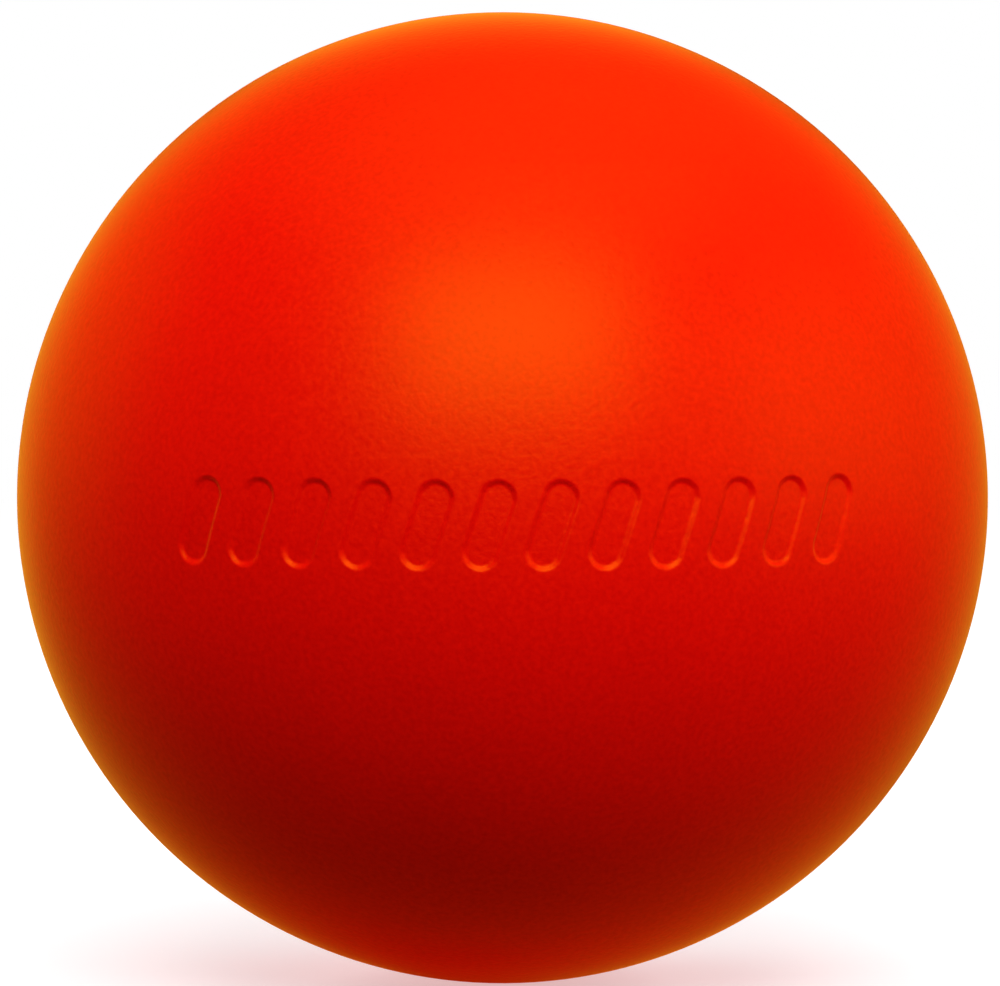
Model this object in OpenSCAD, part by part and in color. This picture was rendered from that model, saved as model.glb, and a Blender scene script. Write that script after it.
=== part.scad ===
// Solid rubber lacrosse ball, moulded in one piece between two half moulds.
// The ball's centre is the origin, +Z is up, and the debossed band faces -Y.
// The half moulds part on the plane y = 0, so the trimmed flash line runs round it.

/* [Ball] */
// Diameter of the ball
ball_d = 63.5; // [60:0.1:70]

/* [Flash line] */
// Width of the trimmed flash line
flash_w = 1.2; // [0.6:0.1:2]
// Height that the trimmed flash line stands above the ball
flash_h = 0.06; // [0.03:0.01:0.15]

/* [Debossed band] */
// Number of bars in the band, even so that its middle is plain
bar_count = 12; // [4:2:14]
// Distance from one bar to the next, along the surface
bar_pitch = 3.8; // [3:0.1:4.2]
// Width of a bar between its walls
bar_w = 2; // [1.2:0.1:2.4]
// Height of a bar over its round ends
bar_h = 5.4; // [4:0.1:8]
// Depth of a bar below the surface
bar_depth = 0.2; // [0.15:0.05:0.5]
// Lean of each bar from upright
bar_lean = 18; // [0:1:30]
// Width of the bevel that breaks the lip of a bar
lip_w = 0.12; // [0.05:0.01:0.18]

/* [Hidden] */
$fn = 128;
// How far a cutter runs past the surface that it cuts
overrun = 0.5;
full_turn = 360;
quarter_turn = full_turn / 4;
ball_r = ball_d / 2;

// Degrees that an arc of the given length spans on the ball
function arc_angle(length) = length / (PI * ball_d) * full_turn;

// Radius of the round bead that shows above the ball by flash_h over flash_w
flash_sagitta = ball_r - sqrt(pow(ball_r, 2) - pow(flash_w / 2, 2));
bead_rise = flash_h + flash_sagitta;
bead_r = (pow(flash_w / 2, 2) + pow(bead_rise, 2)) / (2 * bead_rise);
bead_ring_r = ball_r + flash_h - bead_r;

// Radii at which a bar's cutter starts, turns into the bevel, and ends
floor_r = ball_r - bar_depth;
cutter_in_r = floor_r - bar_depth;
bevel_r = ball_r - lip_w;
cutter_out_r = ball_r + overrun;
// Half the angle between the centres of a bar's round ends
bar_half_angle = arc_angle(bar_h - bar_w) / 2;

// Half width of a bar at a radius: the walls point at the ball's centre
function wall_half(r) = bar_w / 2 * r / ball_r;
bevel_half = wall_half(bevel_r);
rim_half = bevel_half + cutter_out_r - bevel_r;

// Half of a bar's cross-section, from its centre line out: [across, radius]
half_section = [
    [0, cutter_in_r],
    [wall_half(cutter_in_r), cutter_in_r],
    [bevel_half, bevel_r],
    [rim_half, cutter_out_r],
    [0, cutter_out_r]
];

// The straight run of a bar, swept along a great circle from -angle to +angle
module bar_run() {
    rotate([0, 0, -bar_half_angle])
        rotate_extrude(angle = 2 * bar_half_angle)
            for (side = [-1, 1])
                polygon([for (p = half_section) [p[1], side * p[0]]]);
}

// A round end of a bar, turned about the radius that passes through it
module bar_end() {
    rotate([0, quarter_turn, 0])
        rotate_extrude()
            polygon(half_section);
}

// The cutter for one bar, centred on the +X side of the ball
module bar_cutter() {
    rotate([quarter_turn - bar_lean, 0, 0]) {
        bar_run();
        for (end = [-1, 1])
            rotate([0, 0, end * bar_half_angle])
                bar_end();
    }
}

// All bars, side by side round the front of the ball
module bar_cutters() {
    for (i = [0 : bar_count - 1])
        rotate([0, 0, (i - (bar_count - 1) / 2) * arc_angle(bar_pitch) - quarter_turn])
            bar_cutter();
}

// The bead of rubber that trimming leaves where the half moulds met
module flash_line() {
    rotate([quarter_turn, 0, 0])
        rotate_extrude()
            translate([bead_ring_r, 0])
                circle(bead_r);
}

module ball() {
    color("orangered")
        union() {
            difference() {
                union() {
                    sphere(ball_r);
                    flash_line();
                }
                bar_cutters();
            }
            sphere(floor_r);
        }
}

ball();
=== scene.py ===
"""A solid rubber ball with a matt moulded skin, a trimmed flash line and a band of leaning bars.

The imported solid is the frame. The ball's skin is worked out here as one closed surface over it,
in metres.
"""
import math

import bpy
import numpy as np
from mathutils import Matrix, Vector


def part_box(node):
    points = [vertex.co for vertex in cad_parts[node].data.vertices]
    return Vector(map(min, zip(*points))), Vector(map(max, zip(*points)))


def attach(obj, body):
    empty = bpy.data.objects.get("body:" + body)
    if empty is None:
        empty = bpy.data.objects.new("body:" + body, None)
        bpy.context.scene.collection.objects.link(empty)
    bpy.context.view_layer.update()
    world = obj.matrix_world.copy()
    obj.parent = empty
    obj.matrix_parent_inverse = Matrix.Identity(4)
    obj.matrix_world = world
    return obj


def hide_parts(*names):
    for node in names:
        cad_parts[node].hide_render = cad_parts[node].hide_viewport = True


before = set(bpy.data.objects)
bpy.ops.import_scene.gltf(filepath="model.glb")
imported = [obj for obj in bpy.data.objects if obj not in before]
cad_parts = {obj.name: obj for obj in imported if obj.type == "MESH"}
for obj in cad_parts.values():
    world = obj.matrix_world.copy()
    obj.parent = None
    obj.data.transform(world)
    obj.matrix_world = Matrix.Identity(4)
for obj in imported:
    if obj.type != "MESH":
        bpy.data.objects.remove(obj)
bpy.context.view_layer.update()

bl_info = {
    "name": "Moulded Rubber Ball",
    "version": (1, 0, 0),
    "blender": (4, 5, 0),
    "location": "3D View > Sidebar > Ball",
    "description": "Builds a moulded rubber ball with its finish, and a plain studio to show it in",
    "category": "Add Mesh",
}

NODE = "ball"
BODY = "root"

LOWEST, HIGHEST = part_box(NODE)
# The parting plane is y = 0, so the flash line adds its height to the box along X and Z and
# none along Y
BALL_ACROSS = HIGHEST.y - LOWEST.y
FLASH_RISE = (HIGHEST.z - LOWEST.z - BALL_ACROSS) / 2
FLOOR_Z = LOWEST.z

# The frame of the picture that the camera is set for, in pixels
IMAGE_WIDTH = 1000
IMAGE_HEIGHT = 986
# The ball's outline in that picture: its radius and its centre
OUTLINE_RADIUS = 485.4
OUTLINE_X = 502.6
OUTLINE_Y = 498.0
SENSOR_MM = 36
# Distance in metres from the camera at which things start to show
NEAREST_SEEN = 0.01

# Waves in the trimmed height round the flash line: cycles, size and phase of each
FLASH_WAVES = ((3, 1.0, 0.7), (7, 0.7, 2.1), (17, 0.5, 0.0))
# Directions that differ by less than this lead to the same point of the skin
SAME_DIRECTION = 1e-7

# The rubber's brightness: where it starts, and what the clouds, the grain and the flash line add
BRIGHTNESS = {"start": 0.84, "clouds": 0.08, "grain": 0.24, "flash": 0.05}
# What the grain and the flash line add to the skin's roughness, and how far below it they start
ROUGHENING = {"start": -0.08, "grain": 0.16, "flash": 0.1}
# The gloss as a share of its strength: where it starts, and what the grain adds
GLOSS_GRAIN = {"start": 0.7, "grain": 0.6}
# How much deeper the grain is inside the bars, as a share of its depth
DEEPER_GRAIN = 0.5

# The studio's soft boxes, by the name of their power in StudioSetting. Each faces the ball's
# centre: degrees round and up from straight in front, then its distance, width and height in
# metres, whether it lights the ball, and whether gloss mirrors it
SOFT_BOXES = {
    "key": {
        "azimuth": 0, "elevation": 40, "distance": 0.7, "width": 0.6, "height": 0.44,
        "lights": True, "mirrored": True},
    "roof": {
        "azimuth": 0, "elevation": 90, "distance": 1.0, "width": 1.4, "height": 1.0,
        "lights": True, "mirrored": True},
    "sky": {
        "azimuth": 117, "elevation": 72, "distance": 1.05, "width": 1.1, "height": 1.5,
        "lights": False, "mirrored": True},
    "side": {
        "azimuth": 80, "elevation": 10, "distance": 1.0, "width": 0.8, "height": 1.0,
        "lights": True, "mirrored": True},
    "right_fill": {
        "azimuth": 60, "elevation": 20, "distance": 1.0, "width": 0.8, "height": 0.6,
        "lights": True, "mirrored": False},
    "left_fill": {
        "azimuth": -80, "elevation": 20, "distance": 1.0, "width": 0.8, "height": 0.6,
        "lights": True, "mirrored": False},
    "left_rim": {
        "azimuth": -134, "elevation": 8, "distance": 1.0, "width": 1.0, "height": 1.0,
        "lights": True, "mirrored": False},
    "right_rim": {
        "azimuth": 120, "elevation": 8, "distance": 1.0, "width": 1.0, "height": 1.0,
        "lights": True, "mirrored": False},
    "top_rim": {
        "azimuth": 180, "elevation": 45, "distance": 1.0, "width": 1.4, "height": 0.8,
        "lights": True, "mirrored": False},
}
# Distance in metres from the middle of the floor to its sides
FLOOR_REACH = 3.0
# Where the white backdrop starts and is full for gloss and glass, as the part of a direction
# that points back
BACKDROP_EDGE = (0.96, 0.998)
# Distances from the ball's centre in metres over which the floor that the camera sees turns
# from lit to white
WHITE_FLOOR_EDGE = (0.15, 0.6)
# Distances behind the ball's centre in metres over which the floor turns from dark to white
# for gloss and glass
MIRRORED_FLOOR_EDGE = (1.0, 2.5)
# Distances from the ball's centre in metres over which the light that the floor adds under the
# ball fades out, and how much faster it does so along X, Y and Z
FLOOR_LIGHT_EDGE = (0.0335, 0.0485)
FLOOR_LIGHT_FADE = (0.6, 1.15, 1)


class BallShape(bpy.types.PropertyGroup):
    """Sizes of the ball, its flash line and its debossed band."""

    ball_d: bpy.props.FloatProperty(
        name="Diameter", description="Diameter of the ball",
        default=BALL_ACROSS, min=0.02, max=0.2, precision=5, subtype="DISTANCE", unit="LENGTH")
    flash_w: bpy.props.FloatProperty(
        name="Flash width", description="Width of the trimmed flash line",
        default=0.0012, precision=5, subtype="DISTANCE", unit="LENGTH")
    flash_h: bpy.props.FloatProperty(
        name="Flash height", description="Height of the flash line above the ball",
        default=FLASH_RISE, precision=6, subtype="DISTANCE", unit="LENGTH")
    flash_wear: bpy.props.FloatProperty(
        name="Flash wear",
        description="Share of the flash line's height that trimming took where it cut deepest",
        default=0.45, min=0, max=1, subtype="FACTOR")
    bar_count: bpy.props.IntProperty(
        name="Bars", description="Number of bars in the band", default=12, min=2, max=14)
    bar_pitch: bpy.props.FloatProperty(
        name="Bar pitch", description="Distance from one bar to the next, along the surface",
        default=0.0038, precision=5, subtype="DISTANCE", unit="LENGTH")
    bar_w: bpy.props.FloatProperty(
        name="Bar width", description="Width of a bar between its walls",
        default=0.002, precision=5, subtype="DISTANCE", unit="LENGTH")
    bar_h: bpy.props.FloatProperty(
        name="Bar height", description="Height of a bar over its round ends",
        default=0.0054, precision=5, subtype="DISTANCE", unit="LENGTH")
    bar_depth: bpy.props.FloatProperty(
        name="Bar depth", description="Depth of a bar below the surface",
        default=0.00020, precision=6, subtype="DISTANCE", unit="LENGTH")
    bar_lean: bpy.props.FloatProperty(
        name="Bar lean", description="Lean of each bar from upright",
        default=math.radians(18), subtype="ANGLE", unit="ROTATION")
    lip_w: bpy.props.FloatProperty(
        name="Lip", description="How far the rounded lip of a bar reaches out from its wall",
        default=0.00020, precision=6, subtype="DISTANCE", unit="LENGTH")
    foot_w: bpy.props.FloatProperty(
        name="Foot", description="How far the rounded foot of a bar's wall reaches in from it",
        default=0.00020, precision=6, subtype="DISTANCE", unit="LENGTH")
    fine_step: bpy.props.FloatProperty(
        name="Fine step",
        description="Distance between grid lines where the band and the flash line are",
        default=0.000085, precision=6, subtype="DISTANCE", unit="LENGTH")
    fine_margin: bpy.props.FloatProperty(
        name="Fine margin",
        description="How far the fine grid reaches past the band and the flash line",
        default=0.0004, precision=6, subtype="DISTANCE", unit="LENGTH")
    wide_step: bpy.props.FloatProperty(
        name="Wide step", description="Distance between grid lines elsewhere",
        default=0.0010, precision=6, subtype="DISTANCE", unit="LENGTH")


class RubberFinish(bpy.types.PropertyGroup):
    """Colour, gloss and grain of the moulded rubber."""

    colour: bpy.props.FloatVectorProperty(
        name="Colour", description="Colour of the rubber",
        default=(0.9, 0.001, 0.001), min=0, max=1, size=3, subtype="COLOR")
    gloss: bpy.props.FloatProperty(
        name="Gloss", description="Share of the light that the skin mirrors",
        default=0.04, min=0, max=1, subtype="FACTOR")
    gloss_tint: bpy.props.FloatVectorProperty(
        name="Gloss tint", description="Tint of the light that the skin mirrors",
        default=(1.0, 0.47, 0.01), min=0, max=1, size=3, subtype="COLOR")
    sheen_tint: bpy.props.FloatVectorProperty(
        name="Sheen tint", description="Tint of the soft glow towards the rims",
        default=(1.0, 0.48, 0.025), min=0, max=1, size=3, subtype="COLOR")
    sheen: bpy.props.FloatProperty(
        name="Sheen", description="Strength of the glow towards the rims",
        default=1.0, min=0, max=1, subtype="FACTOR")
    sheen_roughness: bpy.props.FloatProperty(
        name="Sheen roughness", description="How far the glow reaches in from the rims",
        default=0.28, min=0, max=1, subtype="FACTOR")
    roughness: bpy.props.FloatProperty(
        name="Roughness", description="Roughness of the blasted skin",
        default=0.4, min=0, max=1, subtype="FACTOR")
    grain_size: bpy.props.FloatProperty(
        name="Grain size", description="Width of one grain of the blasted skin",
        default=0.00035, precision=6, subtype="DISTANCE", unit="LENGTH")
    cloud_size: bpy.props.FloatProperty(
        name="Cloud size", description="Width of one of the faint clouds in the rubber's colour",
        default=0.006, precision=4, subtype="DISTANCE", unit="LENGTH")
    grain_depth: bpy.props.FloatProperty(
        name="Grain depth", description="Depth of the grain",
        default=0.000017, precision=7, subtype="DISTANCE", unit="LENGTH")


class StudioSetting(bpy.types.PropertyGroup):
    """Camera, floor and light of the plain studio."""

    azimuth: bpy.props.FloatProperty(
        name="Azimuth", description="Turn of the camera round the ball, from straight in front",
        default=math.radians(-2), subtype="ANGLE", unit="ROTATION")
    elevation: bpy.props.FloatProperty(
        name="Elevation", description="Height of the camera above the ball's middle, as an angle",
        default=math.radians(3), subtype="ANGLE", unit="ROTATION")
    lens: bpy.props.FloatProperty(
        name="Lens", description="Focal length in millimetres",
        default=200, min=20, max=500, unit="CAMERA")
    room: bpy.props.FloatProperty(
        name="Room", description="Strength of the light that comes from all round",
        default=0.0, min=0)
    key: bpy.props.FloatProperty(
        name="Key", description="Power of the soft box over the camera",
        default=4.4, min=0, unit="POWER")
    roof: bpy.props.FloatProperty(
        name="Roof", description="Power of the large soft box over the ball",
        default=3.0, min=0, unit="POWER")
    sky: bpy.props.FloatProperty(
        name="Sky", description="Power of the soft box over the ball that only gloss mirrors",
        default=5.8, min=0, unit="POWER")
    side: bpy.props.FloatProperty(
        name="Side", description="Power of the soft box on the right",
        default=2.5, min=0, unit="POWER")
    right_fill: bpy.props.FloatProperty(
        name="Right fill", description="Power of the soft box between the camera and the right",
        default=1.8, min=0, unit="POWER")
    left_fill: bpy.props.FloatProperty(
        name="Left fill", description="Power of the soft box on the left",
        default=0.7, min=0, unit="POWER")
    left_rim: bpy.props.FloatProperty(
        name="Left rim", description="Power of the soft box behind the ball's left",
        default=11.5, min=0, unit="POWER")
    right_rim: bpy.props.FloatProperty(
        name="Right rim", description="Power of the soft box behind the ball's right",
        default=6.2, min=0, unit="POWER")
    top_rim: bpy.props.FloatProperty(
        name="Top rim", description="Power of the soft box behind the ball's top",
        default=2.4, min=0, unit="POWER")
    # The floor's dark red bounce, and its glow under the ball though it is no lamp, are painted
    # bounce light in the rubber's own red.
    floor_bounce: bpy.props.FloatVectorProperty(
        name="Floor bounce", description="Colour of the floor as it throws light back at the ball",
        default=(0.065, 0.01, 0.01), min=0, max=1, size=3, subtype="COLOR")
    floor_light: bpy.props.FloatVectorProperty(
        name="Floor light",
        description="Light that the floor adds under the ball, with the rubber's own colour in it",
        default=(0.46, 0.07, 0.07), min=0, size=3, subtype="COLOR")
    floor_seen: bpy.props.FloatVectorProperty(
        name="Seen floor", description="Colour of the floor where it is seen",
        default=(0.7, 0.7, 0.7), min=0, max=1, size=3, subtype="COLOR")
    floor_glow: bpy.props.FloatProperty(
        name="Floor glow", description="White that the floor adds where it is seen",
        default=0.45, min=0)


class Wire:
    """An output of a shader node. Arithmetic on wires adds the Math nodes that work it out."""

    def __init__(self, tree, socket):
        self.tree = tree
        self.socket = socket

    def maths(self, operation, first, second):
        return add_node(
            self.tree, "ShaderNodeMath", {"operation": operation}, {0: first, 1: second})

    def __add__(self, other):
        return self.maths("ADD", self, other)

    def __radd__(self, other):
        return self.maths("ADD", other, self)

    def __sub__(self, other):
        return self.maths("SUBTRACT", self, other)

    def __rsub__(self, other):
        return self.maths("SUBTRACT", other, self)

    def __mul__(self, other):
        return self.maths("MULTIPLY", self, other)

    def __rmul__(self, other):
        return self.maths("MULTIPLY", other, self)

    def clamped(self):
        return add_node(self.tree, "ShaderNodeClamp", {}, {"Value": self})


def add_node(tree, kind, settings, values, output=0):
    """Adds one node: its settings first, then each socket's value or the wire that feeds it."""
    node = tree.nodes.new(kind)
    for name, setting in settings.items():
        setattr(node, name, setting)
    for name, value in values.items():
        if isinstance(value, Wire):
            tree.links.new(value.socket, node.inputs[name])
        else:
            node.inputs[name].default_value = value
    return Wire(tree, node.outputs[output]) if node.outputs else None


def smooth(share):
    """The S curve 3t^2 - 2t^3, flat at both ends, with t held between 0 and 1."""
    t = np.clip(share, 0, 1)
    return t * t * (3 - 2 * t)


def rgba(colour):
    return (*colour, 1)


WHITE = rgba((1, 1, 1))
BLACK = rgba((0, 0, 0))


def grid_lines(stops, steps):
    """Lines from the first stop to the last.

    Between two stops they are spaced evenly, and no wider than that stretch's step.
    """
    stretches = [
        np.linspace(start, end, math.ceil((end - start) / step) + 1)[:-1]
        for start, end, step in zip(stops[:-1], stops[1:], steps)
    ]
    return np.concatenate([*stretches, [stops[-1]]])


def flash_height(shape, across, turn):
    """How far the flash line stands out, by the distance across it and the turn round the ring.

    The bead's section is the S curve of 1 - (across / half of flash_w)^2: flash_h high in the
    middle and flush at half of flash_w. Trimming took a share of the height that wanders slowly
    round the ring, as a sum of the waves.
    """
    bead = smooth(1 - (across / (shape.flash_w / 2)) ** 2)
    waves = sum(size * np.sin(cycles * turn + phase) for cycles, size, phase in FLASH_WAVES)
    worn = (1 + waves / sum(size for _, size, _ in FLASH_WAVES)) / 2
    return shape.flash_h * bead * (1 - shape.flash_wear * worn)


def bar_recess(shape, way):
    """How deep the band's bars lie under each direction, as a share of bar_depth from 0 to 1.

    A bar is all that lies within half its width of a short arc of a great circle. The arc's
    middle is on the ball's front, and it leans from upright. The wall is an S curve from the lip
    to the foot.
    """
    radius = shape.ball_d / 2
    half_arc = (shape.bar_h - shape.bar_w) / 2 / radius
    recess = np.zeros(len(way))
    for place in range(shape.bar_count):
        turn = (place - (shape.bar_count - 1) / 2) * shape.bar_pitch / radius
        middle = np.array([math.sin(turn), -math.cos(turn), 0])
        sideways = np.array([math.cos(turn), math.sin(turn), 0])
        along = math.sin(shape.bar_lean) * sideways + math.cos(shape.bar_lean) * np.array([0, 0, 1])
        travel = np.clip(np.arctan2(way @ along, way @ middle), -half_arc, half_arc)
        nearest = np.outer(np.cos(travel), middle) + np.outer(np.sin(travel), along)
        distance = radius * 2 * np.arcsin(np.linalg.norm(way - nearest, axis=1) / 2)
        wall = (shape.bar_w / 2 + shape.lip_w - distance) / (shape.lip_w + shape.foot_w)
        recess = np.maximum(recess, smooth(wall))
    return recess


def strip(lower, upper, lower_share, upper_share):
    """Triangles between two rows of points that run the same way and may differ in number.

    Each step of the lower row joins the upper point nearest to its middle, and each step of the
    upper row joins the lower point at which that nearest point changes.
    """
    middles = (lower_share[:-1] + lower_share[1:]) / 2
    borders = (upper_share[:-1] + upper_share[1:]) / 2
    nearest = np.searchsorted(borders, middles)
    pivots = np.searchsorted(middles, borders, side="right")
    under = np.stack([lower[:-1], lower[1:], upper[nearest]], axis=1)
    over = np.stack([upper[1:], upper[:-1], lower[pivots]], axis=1)
    return np.concatenate([under, over])


def ball_faces(shape):
    """The directions and triangles of a ball, as the six faces of a cube blown up round its centre.

    A point at the angles a and b on a cube's face lies in the direction
    out + tan(a) right + tan(b) up. The lines of equal a and b lie closer together round the band
    on the front face, and along the parting plane. A line of equal b comes down to its sides, so
    those of the band start higher, by tan(reach) / cos(band_side).
    """
    radius = shape.ball_d / 2
    edge = math.pi / 4
    fine = shape.fine_step / radius
    wide = shape.wide_step / radius
    band_side = (shape.bar_count * shape.bar_pitch / 2) / radius
    reach = (shape.bar_h / 2 + shape.fine_margin) / radius
    band_top = math.atan(math.tan(reach) / math.cos(band_side))
    flash = (shape.flash_w / 2 + shape.fine_margin) / radius
    plain = grid_lines([-edge, edge], [wide])
    ring = grid_lines([-edge, -flash, flash, edge], [wide, fine, wide])
    band = grid_lines([-edge, -band_side, band_side, edge], [wide, fine, wide])
    rows = grid_lines([-edge, -band_top, band_top, edge], [wide, fine, wide])
    x, y, z = np.eye(3)
    faces = [
        (-y, x, z, band, rows, plain),
        (y, -x, z, plain, rows, plain),
        (x, y, z, ring, rows, ring),
        (-x, -y, z, ring, rows, ring),
        (z, x, y, plain, ring, plain),
        (-z, x, -y, plain, ring, plain),
    ]
    points, triangles, count = [], [], 0
    for out, right, up, near, heights, far in faces:
        before = None
        for b in heights:
            columns = near if abs(b) <= band_top + fine / 2 else far
            spread = np.tan(columns)[:, None] * right
            points.append(out + spread + math.tan(b) * up)
            numbers = count + np.arange(len(columns))
            count += len(columns)
            if before is not None:
                triangles.append(strip(before[0], numbers, before[1], columns))
            before = (numbers, columns)
    way = np.concatenate(points)
    way /= np.linalg.norm(way, axis=1)[:, None]
    return way, np.concatenate(triangles)


def join_seams(way, triangles):
    """Makes one point of the points that two faces share along the cube's edges."""
    coarse = np.round(way / SAME_DIRECTION).astype(np.int64)
    _, first, same = np.unique(coarse, axis=0, return_index=True, return_inverse=True)
    return way[first], same.reshape(-1)[triangles]


def ball_mesh(shape):
    """Every direction at the ball's radius, plus the flash line's height, less the bars' depth."""
    way, triangles = join_seams(*ball_faces(shape))
    radius = shape.ball_d / 2
    turn = np.arctan2(way[:, 2], way[:, 0])
    flash = flash_height(shape, radius * np.arcsin(way[:, 1]), turn)
    recess = bar_recess(shape, way)
    places = way * (radius + flash - shape.bar_depth * recess)[:, None]
    mesh = bpy.data.meshes.new("moulded_ball")
    mesh.from_pydata(places, [], triangles)
    mesh.shade_smooth()
    add_measure(mesh, "recess", recess)
    add_measure(mesh, "flash", flash / shape.flash_h)
    return mesh


def add_measure(mesh, name, values):
    """Keeps one number for each point of the mesh, for its material to read."""
    attribute = mesh.attributes.new(name, "FLOAT", "POINT")
    attribute.data.foreach_set("value", values.astype(np.float32))


def rubber_material(finish):
    """Matt moulded rubber: faint clouds, a blasted grain, and a tinted gloss and sheen.

    The blasted skin scatters what skims it, so its gloss keeps its tint and its strength right
    up to the rims.
    """
    material = bpy.data.materials.new("moulded_rubber")
    material.use_nodes = True
    tree = material.node_tree
    tree.nodes.clear()
    place = add_node(tree, "ShaderNodeTexCoord", {}, {}, "Object")
    recess = add_node(tree, "ShaderNodeAttribute", {"attribute_name": "recess"}, {}, "Fac")
    flash = add_node(tree, "ShaderNodeAttribute", {"attribute_name": "flash"}, {}, "Fac")
    grain = add_node(tree, "ShaderNodeTexNoise", {}, {
        "Vector": place, "Scale": 1 / finish.grain_size, "Detail": 1.0, "Roughness": 0.5})
    clouds = add_node(tree, "ShaderNodeTexNoise", {}, {
        "Vector": place, "Scale": 1 / finish.cloud_size, "Detail": 3.0})
    brightness = (
        BRIGHTNESS["start"] + BRIGHTNESS["clouds"] * clouds + BRIGHTNESS["grain"] * grain
        + BRIGHTNESS["flash"] * flash)
    colour = add_node(tree, "ShaderNodeHueSaturation", {}, {
        "Color": rgba(finish.colour), "Value": brightness})
    rough = (
        finish.roughness + ROUGHENING["start"] + ROUGHENING["grain"] * grain
        + ROUGHENING["flash"] * flash)
    height = add_node(tree, "ShaderNodeBump", {}, {
        "Strength": 1.0, "Distance": finish.grain_depth,
        "Height": grain * (1 + DEEPER_GRAIN * recess)})
    body = add_node(tree, "ShaderNodeBsdfPrincipled", {}, {
        "Base Color": colour, "Roughness": rough, "Normal": height, "Specular IOR Level": 0.0,
        "Sheen Weight": finish.sheen, "Sheen Roughness": finish.sheen_roughness,
        "Sheen Tint": rgba(finish.sheen_tint)})
    gloss = add_node(tree, "ShaderNodeBsdfPrincipled", {}, {
        "Base Color": rgba(finish.gloss_tint), "Roughness": rough, "Normal": height,
        "Metallic": 1.0, "Specular Tint": rgba(finish.gloss_tint)})
    gloss_share = finish.gloss * (GLOSS_GRAIN["start"] + GLOSS_GRAIN["grain"] * grain)
    skin = add_node(tree, "ShaderNodeMixShader", {}, {"Fac": gloss_share, 1: body, 2: gloss})
    add_node(tree, "ShaderNodeOutputMaterial", {}, {"Surface": skin})
    return material


def backdrop_rays(tree):
    """The rays that show the background: the camera's, and those that gloss or glass sends on."""
    camera = add_node(tree, "ShaderNodeLightPath", {}, {}, "Is Camera Ray")
    gloss = add_node(tree, "ShaderNodeLightPath", {}, {}, "Is Glossy Ray")
    glass = add_node(tree, "ShaderNodeLightPath", {}, {}, "Is Transmission Ray")
    return camera, gloss + glass


def ramp(tree, value, edge):
    """Rises from 0 to 1 in an S curve as the value goes from one end of the edge to the other."""
    return add_node(tree, "ShaderNodeMapRange", {"interpolation_type": "SMOOTHSTEP"}, {
        "Value": value, "From Min": edge[0], "From Max": edge[1]})


def length(tree, vector):
    """How long the vector is."""
    return add_node(
        tree, "ShaderNodeVectorMath", {"operation": "LENGTH"}, {"Vector": vector}, "Value")


def floor_material(setting):
    """A pale floor: white with the ball's shadow where it is seen.

    The light that it throws at the ball is weak and red, and under the ball the floor glows though
    it
    is no lamp: painted bounce light, with the rubber's own red in it. Gloss and glass see it dark
    near the ball, where real rubber would mirror its own shadow, and white far off.
    """
    material = bpy.data.materials.new("pale_floor")
    material.use_nodes = True
    material.cycles.emission_sampling = "NONE"
    tree = material.node_tree
    tree.nodes.clear()
    camera, others = backdrop_rays(tree)
    place = add_node(tree, "ShaderNodeTexCoord", {}, {}, "Object")
    depth = add_node(tree, "ShaderNodeSeparateXYZ", {}, {"Vector": place}, "Y")
    far = ramp(tree, length(tree, place), WHITE_FLOOR_EDGE)
    lit = add_node(tree, "ShaderNodeBsdfDiffuse", {}, {"Color": rgba(setting.floor_seen)})
    glow = add_node(tree, "ShaderNodeEmission", {}, {
        "Color": WHITE, "Strength": setting.floor_glow})
    near = add_node(tree, "ShaderNodeAddShader", {}, {0: lit, 1: glow})
    white = add_node(tree, "ShaderNodeEmission", {}, {"Color": WHITE, "Strength": 1.0})
    seen = add_node(tree, "ShaderNodeMixShader", {}, {"Fac": far, 1: near, 2: white})
    dark = add_node(tree, "ShaderNodeBsdfDiffuse", {}, {"Color": BLACK})
    mirrored = add_node(tree, "ShaderNodeMixShader", {}, {
        "Fac": ramp(tree, depth, MIRRORED_FLOOR_EDGE), 1: dark, 2: white})
    spread = add_node(tree, "ShaderNodeVectorMath", {"operation": "MULTIPLY"}, {
        0: place, 1: FLOOR_LIGHT_FADE})
    # What the floor throws at the ball: a dark red bounce, and a glow under the ball that fades out
    # with distance from its foot. Both are painted bounce light in the rubber's own red.
    plain = add_node(tree, "ShaderNodeBsdfDiffuse", {}, {"Color": rgba(setting.floor_bounce)})
    under = add_node(tree, "ShaderNodeEmission", {}, {
        "Color": rgba(setting.floor_light),
        "Strength": 1 - ramp(tree, length(tree, spread), FLOOR_LIGHT_EDGE)})
    bounce = add_node(tree, "ShaderNodeAddShader", {}, {0: plain, 1: under})
    unseen = add_node(tree, "ShaderNodeMixShader", {}, {"Fac": others, 1: bounce, 2: mirrored})
    both = add_node(tree, "ShaderNodeMixShader", {}, {"Fac": camera, 1: unseen, 2: seen})
    add_node(tree, "ShaderNodeOutputMaterial", {}, {"Surface": both})
    return material


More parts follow.
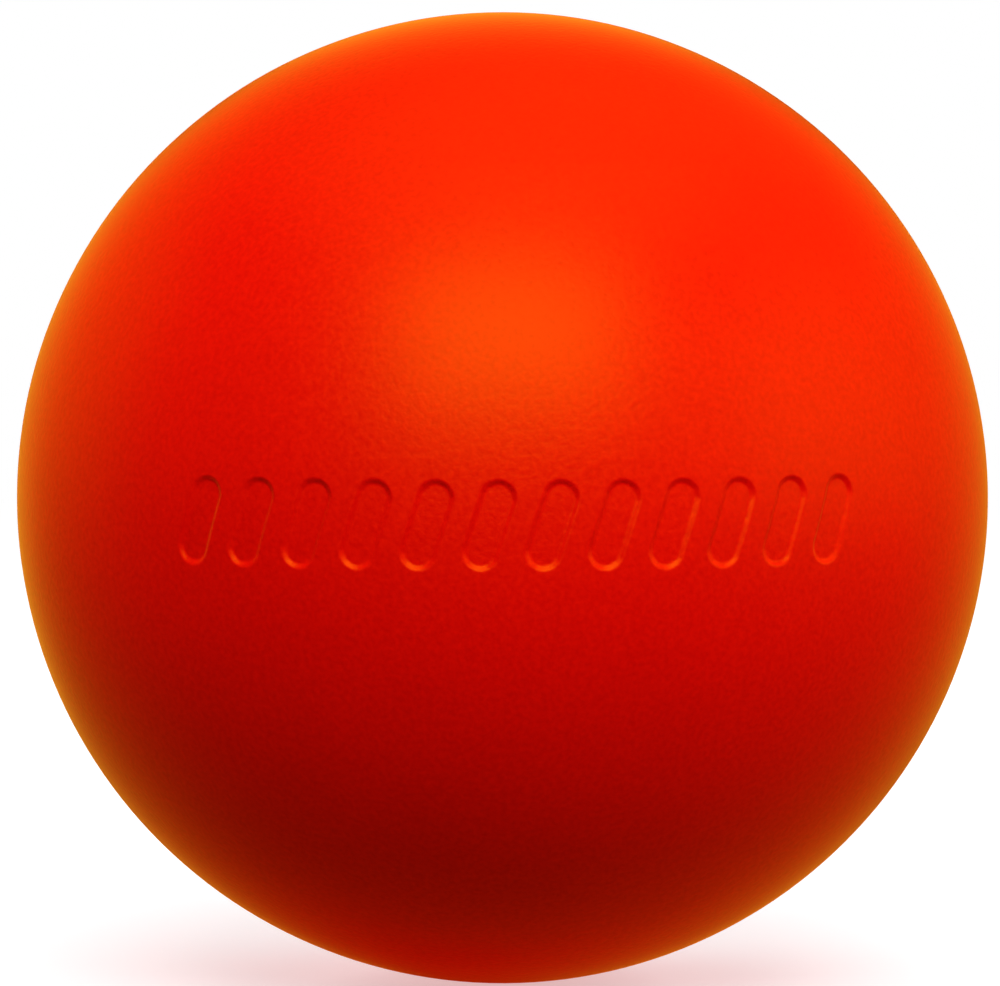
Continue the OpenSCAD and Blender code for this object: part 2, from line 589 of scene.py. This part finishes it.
def make_world(setting):
    """White where the camera looks, and straight behind for gloss and glass.

    Elsewhere it has the room's strength, and the soft boxes give the light.
    """
    world = bpy.data.worlds.new("studio_dome")
    world.use_nodes = True
    tree = world.node_tree
    tree.nodes.clear()
    way = add_node(tree, "ShaderNodeTexCoord", {}, {}, "Generated")
    back = add_node(tree, "ShaderNodeSeparateXYZ", {}, {"Vector": way}, "Y")
    camera, others = backdrop_rays(tree)
    shown = (camera + others * ramp(tree, back, BACKDROP_EDGE)).clamped()
    light = add_node(tree, "ShaderNodeBackground", {}, {"Color": WHITE, "Strength": setting.room})
    white = add_node(tree, "ShaderNodeBackground", {}, {"Color": WHITE, "Strength": 1.0})
    both = add_node(tree, "ShaderNodeMixShader", {}, {"Fac": shown, 1: light, 2: white})
    add_node(tree, "ShaderNodeOutputWorld", {}, {"Surface": both})
    bpy.context.scene.world = world


def add_object(name, data):
    """A new object in the scene, at the origin."""
    made = bpy.data.objects.new(name, data)
    bpy.context.scene.collection.objects.link(made)
    return made


def direction(azimuth, elevation, distance):
    """A place at that distance from the ball's centre, turned from straight in front and raised."""
    flat = distance * math.cos(elevation)
    return (flat * math.sin(azimuth), -flat * math.cos(azimuth), distance * math.sin(elevation))


def face_ball(made, azimuth, elevation, distance):
    """Puts a lamp or a camera at its place and points it at the ball's centre."""
    made.location = direction(azimuth, elevation, distance)
    made.rotation_euler = (-made.location).to_track_quat("-Z", "Y").to_euler()


def soft_box(name, box, watts):
    """One of the studio's rectangular area lights."""
    lamp = bpy.data.lights.new(name, "AREA")
    lamp.shape = "RECTANGLE"
    lamp.size = box["width"]
    lamp.size_y = box["height"]
    lamp.energy = watts
    made = add_object(name, lamp)
    face_ball(made, math.radians(box["azimuth"]), math.radians(box["elevation"]), box["distance"])
    made.visible_camera = False
    made.visible_diffuse = box["lights"]
    made.visible_glossy = box["mirrored"]


def make_camera(setting, ball_d):
    """A long lens at the distance from which the ball's outline has its radius in the picture."""
    camera = bpy.data.cameras.new("camera")
    camera.lens = setting.lens
    camera.sensor_width = SENSOR_MM
    half_view = math.atan(OUTLINE_RADIUS / IMAGE_WIDTH * SENSOR_MM / setting.lens)
    distance = ball_d / 2 / math.sin(half_view)
    made = add_object("camera", camera)
    face_ball(made, setting.azimuth, setting.elevation, distance)
    camera.shift_x = (IMAGE_WIDTH / 2 - OUTLINE_X) / IMAGE_WIDTH
    camera.shift_y = (OUTLINE_Y - IMAGE_HEIGHT / 2) / IMAGE_WIDTH
    camera.clip_start = NEAREST_SEEN
    bpy.context.scene.camera = made


def make_floor(setting):
    """A flat square at the height of the ball's lowest point, as a grid of two points by two."""
    sides = np.array([-FLOOR_REACH, FLOOR_REACH])
    across, deep = np.meshgrid(sides, sides)
    places = np.stack([across.ravel(), deep.ravel(), np.full(across.size, FLOOR_Z)], axis=1)
    mesh = bpy.data.meshes.new("floor")
    mesh.from_pydata(places, [], [(0, 1, 3, 2)])
    mesh.materials.append(floor_material(setting))
    floor = add_object("floor", mesh)


class BALL_OT_make_studio(bpy.types.Operator):
    """Sets the camera, the pale floor and the soft studio light"""

    bl_idname = "ball.make_studio"
    bl_label = "Make Studio"

    def execute(self, context):
        setting = context.scene.ball_studio
        context.scene.view_settings.view_transform = "Standard"
        make_camera(setting, context.scene.ball_shape.ball_d)
        make_floor(setting)
        make_world(setting)
        for name, box in SOFT_BOXES.items():
            soft_box(name + "_box", box, getattr(setting, name))
        return {"FINISHED"}


class BALL_OT_make_ball(bpy.types.Operator):
    """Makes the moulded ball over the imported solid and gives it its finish"""

    bl_idname = "ball.make_ball"
    bl_label = "Make Ball"

    def execute(self, context):
        mesh = ball_mesh(context.scene.ball_shape)
        mesh.materials.append(rubber_material(context.scene.ball_finish))
        ball = add_object("moulded_ball", mesh)
        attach(ball, BODY)
        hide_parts(NODE)
        return {"FINISHED"}


class BALL_PT_sidebar(bpy.types.Panel):
    """Lists the steps that make the ball and its studio"""

    bl_idname = "BALL_PT_sidebar"
    bl_label = "Moulded Rubber Ball"
    bl_space_type = "VIEW_3D"
    bl_region_type = "UI"
    bl_category = "Ball"

    def draw(self, context):
        scene = context.scene
        for group in (scene.ball_studio, scene.ball_shape, scene.ball_finish):
            for name in group.__annotations__:
                self.layout.prop(group, name)
        self.layout.operator(BALL_OT_make_studio.bl_idname)
        self.layout.operator(BALL_OT_make_ball.bl_idname)


CLASSES = (
    BallShape, RubberFinish, StudioSetting,
    BALL_OT_make_studio, BALL_OT_make_ball, BALL_PT_sidebar,
)


def register():
    for made in CLASSES:
        bpy.utils.register_class(made)
    bpy.types.Scene.ball_shape = bpy.props.PointerProperty(type=BallShape)
    bpy.types.Scene.ball_finish = bpy.props.PointerProperty(type=RubberFinish)
    bpy.types.Scene.ball_studio = bpy.props.PointerProperty(type=StudioSetting)


def unregister():
    del bpy.types.Scene.ball_studio
    del bpy.types.Scene.ball_finish
    del bpy.types.Scene.ball_shape
    for made in reversed(CLASSES):
        bpy.utils.unregister_class(made)


def main():
    register()
    bpy.ops.ball.make_studio()
    bpy.ops.ball.make_ball()


if __name__ == "__main__":
    main()
